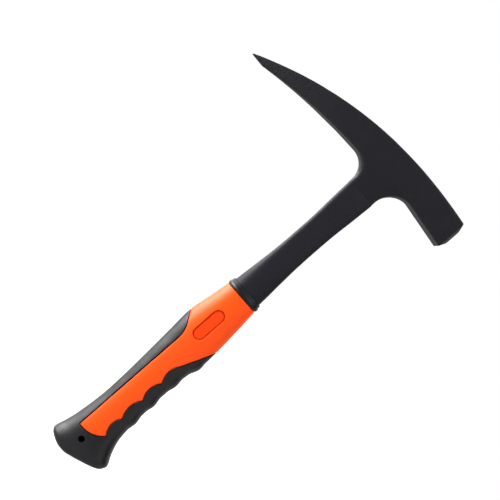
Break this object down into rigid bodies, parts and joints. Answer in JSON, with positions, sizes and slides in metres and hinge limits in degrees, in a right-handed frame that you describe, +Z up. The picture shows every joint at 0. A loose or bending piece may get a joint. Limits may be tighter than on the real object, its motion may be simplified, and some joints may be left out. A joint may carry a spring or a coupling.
{
  "type": "rock hammer with pointed pick",
  "caption": "Geologist's rock hammer: square-faced poll, curved pointed pick, waisted steel shank and a hard-core grip with a soft cover, finger ridges and a flared butt.",
  "frame": {"origin": "on the flat in the middle of the butt, where the handle's axis meets it", "axes": "+Z up the handle to the head, +X towards the poll's striking face with the pick towards -X, Y through the hammer's thickness"},
  "size_m": [0.179, 0.028, 0.3],
  "materials": {
    "head_coating": "satin black coating over forged steel",
    "shank_coating": "satin black coating over steel tube",
    "adhesive": "cured epoxy, hidden",
    "plug_wood": "plain hardwood, hidden",
    "hard_orange": "smooth semi-gloss moulded plastic",
    "soft_black": "matt moulded thermoplastic rubber",
    "badge_orange": "fine matt label plate, plain",
    "collar_black": "satin moulded ring",
    "plug_plastic": "plain moulded plastic, hidden"
  },
  "bodies": {
    "root": {"pick_head": "head_coating", "shank_tube": "shank_coating", "socket_adhesive": "adhesive", "head_plug": "plug_wood", "grip_core": "hard_orange", "soft_grip": "soft_black", "badge_near": "badge_orange", "badge_far": "badge_orange", "collar_ring": "collar_black", "tube_end_plug": "plug_plastic"}
  },
  "joints": []
}
